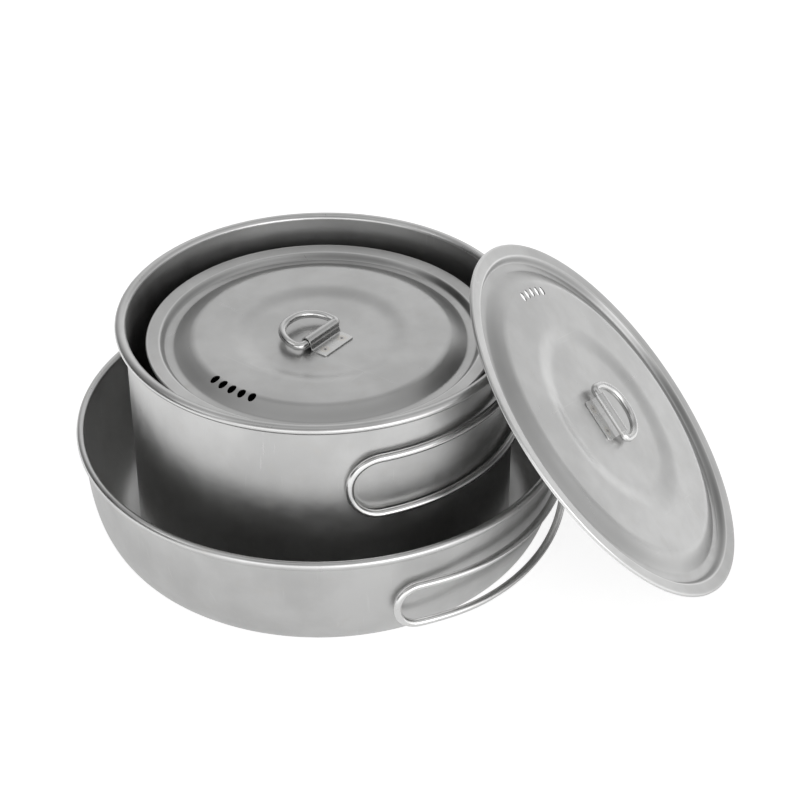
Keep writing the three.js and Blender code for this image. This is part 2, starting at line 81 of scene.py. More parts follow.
# large lid: how it leans and where its edge touches down
LARGE_LID_R = 81.7
LEAN, LEAN_AZ, LEAN_TURN = 47.0 * DEG, -7.4 * DEG, 152.4 * DEG
LEAN_FOOT = (171.0, -26.25, 1.12)

# lid parts, in the lid's own frame: z = 0 is the top of its edge
PLATEAU_Z, GROOVE_DEPTH, FLANGE_RISE, HEM = 0.3, 3.1, 0.6, 1.5
DISH_Z = PLATEAU_Z - 1.25
HOLE_W, HOLE_L, HOLE_PITCH, HOLE_COUNT, HOLE_AZ = 3.0, 4.2, 4.88, 5, 178 * DEG
RING_BORE = WIRE_R + GAP
RING_TUBE = RING_BORE + 0.55
RING_HALF, RING_DEPTH, RING_BOW, RING_REST = 12.2, 15.0, 11.4, 5 * DEG
HINGE_Y, HINGE_Z = -2.3, DISH_Z + GAP + RING_TUBE
STRAP_LEN, STRAP_DEPTH, STRAP_CORNER = 18.0, 9.9, 1.1
STRAP_Z = DISH_Z + 0.04 + STRAP / 2  # middle of the plate that lies on the dish
STRAP_WELD_X, STRAP_WELD_Y = 5.2, HINGE_Y - 6.6

# radii from the edge inward; strap_x and ring_x shift those parts along the hinge
LIDS = {
    "large": SimpleNamespace(
        edge=LARGE_LID_R, wall=74.4, groove=71.7, plateau=63.0, dish_out=44.9, dish_in=31.9,
        hole_r=58.6, strap_x=0.1, ring_x=0.0,
    ),
    "small": SimpleNamespace(
        edge=SMALL_LID_R, wall=62.8, groove=60.3, plateau=51.5, dish_out=38.0, dish_in=26.0,
        hole_r=52.3, strap_x=-3.0, ring_x=-4.0,
    ),
}


# ----------------------------------------------------------------------- lines
def ease(x):
    """Smooth step from 0 to 1, flat outside."""
    t = min(1.0, max(0.0, x))
    return t * t * (3 - 2 * t)


def arc(center, radii, start, end, count):
    """Points on an ellipse between two angles in degrees."""
    angles = [(start + (end - start) * i / count) * DEG for i in range(count + 1)]
    return [
        (center[0] + radii[0] * math.cos(a), center[1] + radii[1] * math.sin(a)) for a in angles
    ]


def fillet(points, segments):
    """Polyline with rounded corners; each point is (x, y) or (x, y, radius)."""
    out = []
    for i, point in enumerate(points):
        if len(point) < 3:
            out.append(point)
            continue
        corner, radius = Vector(point[:2]), point[2]
        back = Vector(points[i - 1][:2]) - corner
        ahead = Vector(points[i + 1][:2]) - corner
        room = min(back.length, ahead.length)
        back.normalize()
        ahead.normalize()
        half_angle = math.acos(back.dot(ahead)) / 2
        cut = min(radius / math.tan(half_angle), room)
        radius = cut * math.tan(half_angle)
        center = corner + (back + ahead).normalized() * (radius / math.sin(half_angle))
        first, last = corner + back * cut - center, corner + ahead * cut - center
        start = math.atan2(first.y, first.x)
        sweep = math.remainder(math.atan2(last.y, last.x) - start, math.tau)
        for k in range(segments + 1):
            a = start + sweep * k / segments
            out.append((center.x + radius * math.cos(a), center.y + radius * math.sin(a)))
    return out


def dense(points, step):
    """Divides long straights and drops doubled points."""
    out = [points[0]]
    for x, y in points[1:]:
        last_x, last_y = out[-1]
        length = math.hypot(x - last_x, y - last_y)
        if length < 1e-6:
            continue
        count = math.ceil(length / step)
        for i in range(1, count + 1):
            out.append((last_x + (x - last_x) * i / count, last_y + (y - last_y) * i / count))
    return out


def left_normal(start, end):
    dx, dy = end[0] - start[0], end[1] - start[1]
    length = math.hypot(dx, dy)
    return None if length < 1e-9 else (-dy / length, dx / length)


def offset(line, distance):
    """Line moved to its left, mitred."""
    out = []
    for i, point in enumerate(line):
        before, after = line[max(0, i - 1)], line[min(len(line) - 1, i + 1)]
        normal_in = left_normal(before, point) or left_normal(point, after)
        normal_out = left_normal(point, after) or normal_in
        miter_x, miter_y = normal_in[0] + normal_out[0], normal_in[1] + normal_out[1]
        scale = 2 * distance / (miter_x * miter_x + miter_y * miter_y)
        out.append((point[0] + miter_x * scale, point[1] + miter_y * scale))
    return out


def direction(line, i):
    """Unit vector along a 2D line at point i."""
    return (Vector(line[min(len(line) - 1, i + 1)]) - Vector(line[max(0, i - 1)])).normalized()


# ---------------------------------------------------------------------- meshes
def mesh_object(name, verts, faces, place=Matrix(), sharp=None):
    """Smooth-shaded object; edges steeper than `sharp` degrees stay sharp."""
    mesh = bpy.data.meshes.new(name)
    mesh.from_pydata([tuple(v) for v in verts], [], faces)
    mesh.validate()
    mesh.update()
    mesh.shade_smooth()
    if sharp:
        mesh.set_sharp_from_angle(angle=sharp * DEG)
    ob = bpy.data.objects.new(name, mesh)
    bpy.context.scene.collection.objects.link(ob)
    ob.matrix_world = place
    return ob


def lathe(name, profile, segments, place=Matrix(), sharp=None, wobble=None):
    """Closed solid from an (r, z) line that starts and ends on the axis.
    wobble(r, z, angle) gives the radius actually used."""
    verts, rows = [], []
    for r, z in profile:
        on_axis = r < 1e-6
        rows.append((len(verts), on_axis))
        if on_axis:
            verts.append((0, 0, z * MM))
            continue
        for i in range(segments):
            a = 2 * math.pi * i / segments
            radius = wobble(r, z, a) if wobble else r
            verts.append((radius * math.cos(a) * MM, radius * math.sin(a) * MM, z * MM))
    faces = []
    for (p, p_on_axis), (q, q_on_axis) in zip(rows, rows[1:]):
        for i in range(segments):
            j = (i + 1) % segments
            if p_on_axis:
                faces.append((p, q + j, q + i))
            elif q_on_axis:
                faces.append((p + i, p + j, q))
            else:
                faces.append((p + i, p + j, q + j, q + i))
    return mesh_object(name, verts, faces, place, sharp)


def rod(name, path, closed=False, place=Matrix()):
    """Round wire along a path, with softly rounded ends unless it is closed."""
    sides, end_round = 28, 0.35
    points = [Vector(p) for p in path]
    count = len(points)

    def tangent(i):
        if closed:
            before, after = points[(i - 1) % count], points[(i + 1) % count]
        else:
            before, after = points[max(0, i - 1)], points[min(count - 1, i + 1)]
        return ((points[i] - before).normalized() + (after - points[i]).normalized()).normalized()

    # carry one cross direction along the path, turning it only as the path turns
    along = tangent(0)
    across = Vector((0, 0, 1)) if abs(along.z) < 0.9 else Vector((1, 0, 0))
    across = (across - along * across.dot(along)).normalized()
    frames = []
    for i in range(count):
        new_along = tangent(i)
        across = along.rotation_difference(new_along) @ across
        across = (across - new_along * across.dot(new_along)).normalized()
        along = new_along
        frames.append((along.copy(), across.copy()))

    verts, rings = [], []

    def add_ring(center, frame, radius):
        along, across = frame
        other = along.cross(across)
        rings.append(len(verts))
        for k in range(sides):
            a = 2 * math.pi * k / sides
            rim = across * (radius * math.cos(a)) + other * (radius * math.sin(a))
            verts.append((center + rim) * MM)

    def add_end(i, inward, steps):
        for k in steps:
            a = (k / 3) * math.pi / 2
            center = points[i] + inward * end_round * (1 - math.sin(a))
            add_ring(center, frames[i], WIRE_R - end_round * (1 - math.sin(a + 0.35)))

    if not closed:
        add_end(0, frames[0][0], (0, 1, 2))
    for i in range(count) if closed else range(1, count - 1):
        add_ring(points[i], frames[i], WIRE_R)
    if not closed:
        add_end(-1, -frames[-1][0], (2, 1, 0))

    faces = []
    for a, b in zip(rings, rings[1:] + (rings[:1] if closed else [])):
        for k in range(sides):
            k2 = (k + 1) % sides
            faces.append((a + k, a + k2, b + k2, b + k))
    if not closed:
        faces.append(tuple(reversed([rings[0] + k for k in range(sides)])))
        faces.append(tuple(rings[-1] + k for k in range(sides)))
    return mesh_object(name, verts, faces, place, sharp=50)


def outward(ob):
    """Makes every face of a closed mesh look outward."""
    bm = bmesh.new()
    bm.from_mesh(ob.data)
    bmesh.ops.recalc_face_normals(bm, faces=bm.faces)
    bm.to_mesh(ob.data)
    bm.free()
    ob.data.update()


def sheet_grid(name, rows, thickness, place=Matrix()):
    """Closed thin sheet round a grid of (point, normal): both faces and all four edges."""
    ni, nj = len(rows), len(rows[0])
    verts = []
    for side in (0.5, -0.5):
        for row in rows:
            for point, normal in row:
                verts.append((Vector(point) + Vector(normal) * thickness * side) * MM)

    def top(i, j):
        return i * nj + j

    def low(i, j):
        return ni * nj + i * nj + j

    faces = []
    for i in range(ni - 1):
        for j in range(nj - 1):
            faces.append((top(i, j), top(i + 1, j), top(i + 1, j + 1), top(i, j + 1)))
            faces.append((low(i, j), low(i, j + 1), low(i + 1, j + 1), low(i + 1, j)))
    j = nj - 1
    for i in range(ni - 1):
        faces.append((top(i, 0), low(i, 0), low(i + 1, 0), top(i + 1, 0)))
        faces.append((top(i, j), top(i + 1, j), low(i + 1, j), low(i, j)))
    i = ni - 1
    for j in range(nj - 1):
        faces.append((top(0, j), top(0, j + 1), low(0, j + 1), low(0, j)))
        faces.append((top(i, j), low(i, j), low(i, j + 1), top(i, j + 1)))
    ob = mesh_object(name, verts, faces, place, sharp=40)
    outward(ob)
    return ob


def add_bevel(ob, width, segments):
    bevel = ob.modifiers.new("edge", "BEVEL")
    bevel.width = width * MM
    bevel.segments = segments
    bevel.limit_method = "ANGLE"
    bevel.angle_limit = 50 * DEG
    bevel.harden_normals = True


def register(ob, body, node=None, material=None):
    if material:
        ob.data.materials.append(material)
    if node:
        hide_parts(node)
    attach(ob, body)


# ------------------------------------------------------------------- materials
class Shader:
    """Small builder for the node tree of a material or world.
    Any value may be a number or the output socket of another node."""

    def __init__(self, owner):
        owner.use_nodes = True
        self.tree = owner.node_tree
        self.tree.nodes.clear()

    def node(self, kind, **settings):
        node = self.tree.nodes.new(kind)
        for key, value in settings.items():
            setattr(node, key, value)
        return node

    def feed(self, socket, value):
        if isinstance(value, bpy.types.NodeSocket):
            self.tree.links.new(value, socket)
        else:
            socket.default_value = value

    def feed_all(self, sockets, values):
        for socket, value in zip(sockets, values):
            self.feed(socket, value)

    def math(self, operation, *values, clamp=False):
        node = self.node("ShaderNodeMath", operation=operation, use_clamp=clamp)
        self.feed_all(node.inputs, values)
        return node.outputs[0]

    def vary(self, value, pattern, amount):
        """value + (pattern - 0.5) * amount"""
        swing = self.math("MULTIPLY", self.math("SUBTRACT", pattern, 0.5), amount)
        return self.math("ADD", value, swing)

    def ramp(self, x, low, high, out_low=0.0, out_high=1.0):
        node = self.node("ShaderNodeMapRange", interpolation_type="SMOOTHSTEP")
        self.feed_all(node.inputs, (x, low, high, out_low, out_high))
        return node.outputs[0]

    def noise(self, vector, scale=1.0, detail=3, rough=0.5):
        node = self.node("ShaderNodeTexNoise")
        node.inputs["Scale"].default_value = scale
        node.inputs["Detail"].default_value = detail
        node.inputs["Roughness"].default_value = rough
        self.feed(node.inputs["Vector"], vector)
        return node.outputs[0]

    def combine(self, x, y, z):
        node = self.node("ShaderNodeCombineXYZ")
        self.feed_all(node.inputs, (x, y, z))
        return node.outputs[0]

    def mapping(self, vector, scale=(1, 1, 1), turn=(0, 0, 0), shift=(0, 0, 0)):
        node = self.node("ShaderNodeMapping")
        node.inputs["Scale"].default_value = scale
        node.inputs["Rotation"].default_value = turn
        node.inputs["Location"].default_value = shift
        self.feed(node.inputs["Vector"], vector)
        return node.outputs[0]

    def mix(self, factor, a, b):
        node = self.node("ShaderNodeMix", data_type="RGBA")
        self.feed(node.inputs[0], factor)
        self.feed_all(node.inputs[6:8], (a, b))
        return node.outputs[2]

    def distance(self, position, point):
        node = self.node("ShaderNodeVectorMath", operation="DISTANCE")
        self.feed_all(node.inputs, (position, point))
        return node.outputs["Value"]

    def bump(self, height, strength, distance, normal=None):
        node = self.node("ShaderNodeBump")
        node.inputs["Strength"].default_value = strength
        node.inputs["Distance"].default_value = distance
        self.feed(node.inputs["Height"], height)
        if normal is not None:
            self.feed(node.inputs["Normal"], normal)
        return node.outputs[0]

    def scratches(self, position, seed, stretch, low, high, mask_scale):
        """Random hairlines: strongly stretched noise, kept only where a second noise is high."""
        vector = self.mapping(
            position,
            scale=stretch,
            turn=(0.3 * seed, 0.2, 1.1 * seed),
            shift=(seed * 3.7, seed, -seed * 2.1),
        )
        line = self.ramp(self.noise(vector, detail=1, rough=0.4), low=low, high=high)
        moved = self.mapping(position, shift=(seed * 9.0, 2.0, seed))
        keep = self.ramp(self.noise(moved, scale=mask_scale, detail=2), low=0.52, high=0.62)
        return self.math("MULTIPLY", line, keep)


def titanium(name, base, rough, grain=1.0, spin=0.5, drawn=0.0, wear=1.0, tint=(), own=False,
             painted_light_bands=()):
    """Bead-blasted or drawn titanium. spin = fine rings round the local Z axis,
    drawn = fine lines along Z, tint = heat colour round points [(x, y, z, radius in mm)],
    own = the mesh is stored turned and carries its own upright coordinates,
    painted_light_bands = rings of painted shade and painted highlight
    [(radius, half width in mm, factor)]: below 1 darker painted shade, above 1 brighter painted
    highlight."""
    material = bpy.data.materials.new(name)
    s = Shader(material)
    output = s.node("ShaderNodeOutputMaterial")
    bsdf = s.node("ShaderNodeBsdfPrincipled")
    s.feed(output.inputs[0], bsdf.outputs[0])
    bsdf.inputs["Metallic"].default_value = 1.0
    if own:
        position = s.node("ShaderNodeAttribute", attribute_name="own").outputs["Vector"]
    else:
        position = s.node("ShaderNodeTexCoord").outputs["Object"]
    split = s.node("ShaderNodeSeparateXYZ")
    s.feed(split.inputs[0], position)
    x, y, z = split.outputs[:3]
    r = s.math("SQRT", s.math("ADD", s.math("MULTIPLY", x, x), s.math("MULTIPLY", y, y)))
    angle = s.math("ARCTAN2", y, x)

    cloud = s.noise(position, scale=28.0, detail=5, rough=0.55)
    mottle = s.noise(position, scale=160.0, detail=4, rough=0.6)
    fine = s.noise(position, scale=1500.0, detail=2, rough=0.6)
    dust = s.noise(position, scale=5200.0, detail=1)

    def streaks(stretch, rough):
        """Noise stretched along some of the coordinates in `stretch`, (coordinate, scale)."""
        vector = s.combine(*[s.math("MULTIPLY", axis, scale) for axis, scale in stretch])
        return s.noise(vector, detail=3, rough=rough)

    rings = streaks([(r, 3800.0), (z, 3800.0), (angle, 1.4)], rough=0.7)
    draws = streaks([(angle, 210.0), (z, 26.0), (r, 20.0)], rough=0.6)

    steep = s.scratches(
        position, seed=1.0, stretch=(900.0, 14.0, 60.0), low=0.68, high=0.72, mask_scale=60.0
    )
    level = s.scratches(
        position, seed=2.3, stretch=(16.0, 1100.0, 70.0), low=0.69, high=0.73, mask_scale=45.0
    )
    scratch = s.math("MULTIPLY", s.math("MAXIMUM", steep, level), 0.35 * wear, clamp=True)

    def scaled(*factors):
        """Base colour times one factor, or one factor per channel."""
        return tuple(min(1, c * f) for c, f in zip(base, factors * 3)) + (1,)

    # colour: slow clouding, small mottling, bright hairlines, painted shade and highlight bands,
    # heat tint
    color = s.mix(s.ramp(cloud, low=0.32, high=0.68), scaled(0.90), scaled(1.07))
    warmth = s.ramp(mottle, low=0.55, high=0.8, out_high=0.35)
    color = s.mix(warmth, color, scaled(0.97, 0.945, 0.90))
    color = s.mix(s.math("MULTIPLY", scratch, 0.5), color, scaled(1.25))
    # painted shade and painted highlight: rings darkened or brightened round the local Z axis
    for band_r, half_width, factor in painted_light_bands:
        off = s.math("DIVIDE", s.math("SUBTRACT", r, band_r * MM), half_width * MM)
        bell = s.math("EXPONENT", s.math("MULTIPLY", s.math("MULTIPLY", off, off), -1.0))
        cloudy = s.math("ADD", 0.75, s.math("MULTIPLY", cloud, 0.5))
        color = s.mix(s.math("MULTIPLY", bell, cloudy, clamp=True), color, scaled(factor))
    for tint_x, tint_y, tint_z, tint_r in tint:
        reach = tint_r * MM
        away = s.distance(position, (tint_x * MM, tint_y * MM, tint_z * MM))
        away = s.vary(away, mottle, amount=reach * 0.5)
        straw = s.ramp(away, low=reach, high=reach * 0.45, out_high=0.35)
        blue = s.ramp(away, low=reach * 0.55, high=reach * 0.25, out_high=0.4)
        color = s.mix(straw, color, scaled(1.02, 0.90, 0.70))
        color = s.mix(blue, color, scaled(0.62, 0.66, 0.80))
    s.feed(bsdf.inputs["Base Color"], color)

    roughness = s.vary(rough, mottle, amount=0.16)
    roughness = s.vary(roughness, cloud, amount=0.12)
    roughness = s.vary(roughness, rings, amount=0.16 * spin)
    roughness = s.vary(roughness, draws, amount=0.14 * drawn)
    roughness = s.math("SUBTRACT", roughness, s.math("MULTIPLY", scratch, 0.12), clamp=True)
    s.feed(bsdf.inputs["Roughness"], roughness)

    # relief, from broad undulation down to blasted grain; distances in metres
    normal = s.bump(s.noise(position, scale=22.0, detail=1), strength=0.35, distance=0.0005)
    normal = s.bump(mottle, strength=0.10, distance=0.00008, normal=normal)
    normal = s.bump(fine, strength=0.22 * grain, distance=0.00003, normal=normal)
    normal = s.bump(dust, strength=0.20 * grain, distance=0.00001, normal=normal)
    if spin:
        normal = s.bump(rings, strength=0.22 * spin, distance=0.00002, normal=normal)
    if drawn:
        normal = s.bump(draws, strength=0.25 * drawn, distance=0.00004, normal=normal)
    sunk = s.math("MULTIPLY", scratch, -1.0)
    normal = s.bump(sunk, strength=0.12, distance=0.00004, normal=normal)
    s.feed(bsdf.inputs["Normal"], normal)
    return material


SHEET_COLOR = (0.550, 0.550, 0.546)
# rods brighter than the sheet: painted sheen standing in for their highlights
ROD_SHEEN_COLOR = (0.700, 0.700, 0.696)
RIM_COLOR = (0.600, 0.600, 0.596)
# inside the pots a darker copy of the sheet: painted shade
POT_INSIDE_SHADE_COLOR = (0.43, 0.43, 0.428)
# inside the pan a brighter copy of the sheet: painted light
PAN_INSIDE_LIT_COLOR = (0.66, 0.66, 0.656)
# straps brighter than the sheet: painted sheen on the rolled tube
STRAP_SHEEN_COLOR = (0.62, 0.62, 0.616)
WELD_COLOR = (0.30, 0.29, 0.28)

pot_wall_mat = titanium("titanium_pot_wall", base=SHEET_COLOR, rough=0.34, spin=0.30, drawn=0.35)
pan_wall_mat = titanium("titanium_pan_wall", base=SHEET_COLOR, rough=0.36, spin=0.35, drawn=0.2)
pot_inside_shaded_mat = titanium(
    "titanium_inside_painted_shade", base=POT_INSIDE_SHADE_COLOR, rough=0.42, grain=0.8, spin=0.7, wear=1.3
)
pan_inside_lit_mat = titanium(
    "titanium_pan_inside_painted_light", base=PAN_INSIDE_LIT_COLOR, rough=0.38, grain=0.8, spin=0.7, wear=1.3
)
rim_mat = titanium("titanium_rim", base=RIM_COLOR, rough=0.31, grain=0.5, wear=0.6)
rod_mat = titanium("titanium_rod", base=ROD_SHEEN_COLOR, rough=0.23, grain=0.10, spin=0.0, wear=0.5)
hole_mat = titanium(
    "titanium_hole_edge", base=RIM_COLOR, rough=0.32, grain=0.2, spin=0.0, wear=0.2
)


# --------------------------------------------------------------------- vessels
def vessel(name, wall_out, wall_r, rim_r, top, bead_h, segments, materials, wobble):
    """Wall and floor of one sheet whose top edge is rolled outward to an open bead.
    materials are for the outside, the bead and the inside."""
    inner_r = wall_r - SHEET
    half_w, half_h = (rim_r - inner_r) / 2, bead_h / 2
    center = ((inner_r + rim_r) / 2, top - half_h)
    bead = arc(center, (half_w - SHEET, half_h - SHEET), 168, -112, 20)
    bead += reversed(arc(center, (half_w, half_h), 180, -116, 40))
    wall_in = offset(wall_out, SHEET)
    wall_in[0] = (0.0, wall_out[0][1] + SHEET)
    wall_in = [p for p in wall_in if p[1] < center[1] - 0.6]
    profile = wall_out + bead + wall_in[::-1]
    ob = lathe(name, profile, segments, wobble=wobble, sharp=55)
    for material in materials:
        ob.data.materials.append(material)
    zones = [0] * (len(wall_out) - 1) + [1] * len(bead) + [2] * len(wall_in)
    ob.data.polygons.foreach_set("material_index", [z for z in zones for _ in range(segments)])
    ob.data.update()
    register(ob, name, node=f"{name}_body")


def pan_radius(z):
    """Outside radius of the frying pan's wall at height z."""
    t = math.acos((1 - z / PAN_CURVE_H) ** (PAN_CURVE / 2))
    return PAN_FLOOR_R + (PAN_WALL_R - PAN_FLOOR_R) * math.sin(t) ** (2 / PAN_CURVE)


def pan_wall():
    floor_radii = [PAN_FLOOR_R * f for f in (0, 0.3, 0.55, 0.8)] + [PAN_FLOOR_R - 3, PAN_FLOOR_R]
    points = [(r, 0.0) for r in floor_radii]
    steps = 56
    for i in range(1, steps + 1):
        t = i / steps * math.pi / 2
        z = (1 - math.cos(t) ** (2 / PAN_CURVE)) * PAN_CURVE_H
        if z > PAN_TOP - PAN_BEAD_H - 1.2:
            break
        bulge = math.sin(t) ** (2 / PAN_CURVE)
        points.append((PAN_FLOOR_R + (PAN_WALL_R - PAN_FLOOR_R) * bulge, z))
    points.append((PAN_WALL_R, PAN_TOP - PAN_BEAD_H / 2 - BEAD_TO_WALL))
    return points


def pot_wall(wall_r, floor_z, corner, top, bead_h):
    flat_r = wall_r - corner
    points = [(0.0, floor_z), (flat_r * 0.4, floor_z), (flat_r * 0.75, floor_z)]
    points += arc((flat_r, floor_z + corner), (corner, corner), -90, 0, 14)
    points.append((wall_r, top - bead_h / 2 - BEAD_TO_WALL))
    return dense(points, 6.0)


def out_of_round(seed, amount):
    """Slight departure from a true circle, as spun sheet has, growing over the lowest 30 mm."""

    def wobble(r, z, a):
        grow = min(1.0, z / 30.0)
        waves = (
            0.6 * math.sin(2 * a + seed)
            + 0.4 * math.sin(3 * a + 1.7 * seed)
            + 0.25 * math.sin(7 * a + seed * 3.1)
        )
        return r + amount * grow * waves - amount * grow * 1.1

    return wobble


vessel(
    "frying_pan", pan_wall(), wall_r=PAN_WALL_R, rim_r=PAN_RIM_R, top=PAN_TOP,
    bead_h=PAN_BEAD_H, segments=240, materials=(pan_wall_mat, rim_mat, pan_inside_lit_mat),
    wobble=out_of_round(seed=0.4, amount=0.035),
)
# name, outside radius of wall and rim, floor height, corner radius, top, bead height,
# segments, seed
POTS = [
    ("large_pot", POT_WALL_R, POT_RIM_R, POT_FLOOR_Z, POT_CORNER, POT_TOP, POT_BEAD_H, 240, 1.9),
    ("small_pot", SMALL_WALL_R, SMALL_RIM_R, SMALL_FLOOR_Z, SMALL_CORNER, SMALL_TOP,
     SMALL_BEAD_H, 192, 3.3),
]
for name, wall_r, rim_r, floor_z, corner, top, bead_h, segments, seed in POTS:
    vessel(
        name, pot_wall(wall_r, floor_z, corner, top, bead_h), wall_r, rim_r, top, bead_h,
        segments, materials=(pot_wall_mat, rim_mat, pot_inside_shaded_mat),
        wobble=out_of_round(seed=seed, amount=0.03),
    )


# -------------------------------------------------------- handles and brackets
def pot_rod_radius(azimuth):
    """The large pot's rods close in by 1 mm between 15 and 65 degrees from the bracket."""
    off = abs(azimuth - BRACKET_AZ) / DEG
    return 80.1 + 1.0 * (1 - ease((off - 15) / 50))


def pan_rod_radius(azimuth):
    """The pan's rods swing out from 22 degrees off the bracket and in again from 62."""
    off = abs(azimuth - BRACKET_AZ) / DEG
    return 100.3 + 1.6 * ease((off - 22) / 38) - 1.9 * ease((off - 62) / 22)


# wall_at(z): the wall's outside radius. hinge_r: radius of the hinge lines; hinge_half: arc from
# the bracket's middle to a hinge line. rod_at(azimuth): the rod's radius; sweep: degrees from
# bracket to handle tip; rod_z, strip_z: bottom and top; prong: length of the rod's hinge ends.
FITTINGS = {
    "pot": SimpleNamespace(
        body="large_pot", wall_at=lambda z: POT_WALL_R, hinge_r=POT_WALL_R + GAP + KNUCKLE_OUT,
        hinge_half=7.4, rod_at=pot_rod_radius, sweep=92.7, rod_z=(54.8, 80.8), tip_corner=12.4,
        prong=10.9, strip_z=(60.5, 75.6),
    ),
    "pan": SimpleNamespace(
        body="frying_pan", wall_at=pan_radius,
        hinge_r=pan_radius(27.5) + GAP + STRAP + KNUCKLE_OUT - 0.3,
        hinge_half=7.8, rod_at=pan_rod_radius, sweep=84.1, rod_z=(14.3, 32.6), tip_corner=9.0,
        prong=8.2, strip_z=(18.4, 27.5),
    ),
    "small": SimpleNamespace(
        body="small_pot", wall_at=lambda z: SMALL_WALL_R,
        hinge_r=SMALL_WALL_R + GAP + KNUCKLE_OUT + 0.1,
        hinge_half=6.6, rod_at=lambda azimuth: SMALL_WALL_R + 0.5 + WIRE_R, sweep=92,
        rod_z=(45.0, 67.0), tip_corner=9, prong=9.0, strip_z=(50.0, 62.0),
    ),
}


def handle(fit, side, word):
    """Wire loop drawn flat as (arc length, z), then wrapped round the vessel."""
    hinge = BRACKET_AZ + side * fit.hinge_half / fit.hinge_r
    tip = BRACKET_AZ + side * fit.sweep * DEG
    span = abs(tip - hinge)
    length = span * fit.rod_at(tip)
    low, top = fit.rod_z
    outline = [
        (0, top - fit.prong),
        (0, top, 3.0),
        (length, top, fit.tip_corner),
        (length, low, fit.tip_corner),
        (0, low, 3.0),
        (0, low + fit.prong),
    ]
    path = []
    for along, z in dense(fillet(outline, 14), 2.2):
        azimuth = hinge + side * (along / length) * span
        # the rod leaves the hinge radius over its first 14 mm
        blend = min(1.0, along / 14)
        blend = ease(blend) * 0.35 + blend * 0.65
        r = fit.hinge_r * (1 - blend) + fit.rod_at(azimuth) * blend
        path.append((r * math.cos(azimuth), r * math.sin(azimuth), z))
    body = f"{fit.body}_{word}_handle"
    ob = rod(f"{body}_rod", path)
    register(ob, body, node=f"{fit.body}_handle_{word}", material=rod_mat)


for side, word in ((-1, "front"), (1, "rear")):
    for fit in FITTINGS.values():
        handle(fit, side, word)


def knuckle(azimuth, hinge_r, side):
    """Plan of a rolled knuckle: from its free lip on the plate side, over the outside of the
    rod, round to the wall side."""
    out = Vector((math.cos(azimuth), math.sin(azimuth)))
    away = Vector((-math.sin(azimuth), math.cos(azimuth))) * side
    center = Vector((hinge_r * math.cos(azimuth), hinge_r * math.sin(azimuth)))
    angles = [(200 - 275 * k / 24) * DEG for k in range(25)]
    return [center + (away * math.cos(a) + out * math.sin(a)) * KNUCKLE_MID for a in angles]


def bracket(fit, material):
    """One strip of sheet: a knuckle rolled at each edge and a plate between that hugs the wall."""
    half = fit.hinge_half / fit.hinge_r
    first, last = BRACKET_AZ - half, BRACKET_AZ + half
    front = knuckle(first, fit.hinge_r, -1)
    rear = knuckle(last, fit.hinge_r, 1)
    plate = [first + (last - first) * (0.16 + 0.68 * k / 14) for k in range(15)]
    low, top = fit.strip_z
    rows = []
    for i in range(13):
        z = low + (top - low) * i / 12
        plate_r = fit.wall_at(z) + BRACKET_GAP + STRAP / 2
        line = front + [Vector((math.cos(a), math.sin(a))) * plate_r for a in plate] + rear[::-1]
        row = []
        for j, point in enumerate(line):
            along = direction(line, j)
            row.append(((point.x, point.y, z), (along.y, -along.x, 0)))
        rows.append(row)
    node = f"{fit.body}_handle_bracket"
    ob = sheet_grid(f"{node}_strip", rows, STRAP * 0.95)
    add_bevel(ob, width=0.08, segments=1)
    register(ob, fit.body, node=node, material=material)


def bracket_welds(fit):
    """Four weld places on the outside of the bracket's plate."""
    points = []
    low, top = fit.strip_z
    for shift in (-0.028, 0.028):
        for part in (0.25, 0.75):
            z = low + (top - low) * part
            r = fit.wall_at(z) + BRACKET_GAP + STRAP
            azimuth = BRACKET_AZ + shift
            points.append((r * math.cos(azimuth), r * math.sin(azimuth), z))
    return points


def weld_spot(name, body, at, normal, radius, material, place=Matrix()):
    """Shallow spot-weld button with a raised ring and a sunk middle."""
    profile = [  # radius, height over the sheet
        (0.0, -0.12),
        (radius * 1.02, -0.12),
        (radius, 0.02),
        (radius * 0.86, 0.13),
        (radius * 0.7, 0.11),
        (radius * 0.45, 0.02),
        (0.0, 0.02),
    ]
    turn = Vector(normal).normalized().to_track_quat("Z", "Y").to_matrix().to_4x4()
    ob = lathe(name, profile, 28, place=place @ (Matrix.Translation(Vector(at) * MM) @ turn))
    register(ob, body, material=material)


for key in ("pan", "pot", "small"):
    fit = FITTINGS[key]
    welds = bracket_welds(fit)
    material = titanium(
        f"titanium_bracket_{key}", base=SHEET_COLOR, rough=0.36, grain=0.8, spin=0.0, drawn=0.3,
        tint=[(*weld, 3.6) for weld in welds],
    )
    bracket(fit, material)
    for i, (x, y, z) in enumerate(welds):
        name = f"{fit.body}_bracket_weld_{i + 1}"
        weld_spot(name, fit.body, (x, y, z), (x, y, 0), radius=0.95, material=hole_mat)


# ------------------------------------------------------------------------ lids
def lid_top(lid):
    """Upper side of a lid as (r, z), from the axis out and down to the hem."""
    points = [(lid.dish_in * f, DISH_Z) for f in (0, 0.35, 0.7)]
    steps = 22
    for i in range(steps + 1):  # soft S from the dish up to the plateau
        f = i / steps
        rise = f * f * f * (f * (6 * f - 15) + 10)
        r = lid.dish_in + (lid.dish_out - lid.dish_in) * f
        points.append((r, DISH_Z + (PLATEAU_Z - DISH_Z) * rise))
    outer = [  # r, z, corner radius
        (lid.dish_out + 0.5, PLATEAU_Z),
        (lid.plateau, PLATEAU_Z, 8.0),
        (lid.groove - 1.0, -GROOVE_DEPTH, 3.0),
        (lid.wall - 0.1, -GROOVE_DEPTH, 1.1),
        (lid.wall + 1.75, -FLANGE_RISE, 1.2),
        (lid.edge - 0.1, 0.0, 0.6),
        (lid.edge, -0.55, 0.3),
        (lid.edge, -0.80),
        (lid.edge - 0.22, -0.90),
        (lid.edge - 0.05, -1.02),
        (lid.edge, -1.22),
        (lid.edge - 0.10, -HEM),
    ]
    return dense(points + fillet(outer, 8), 4.0)


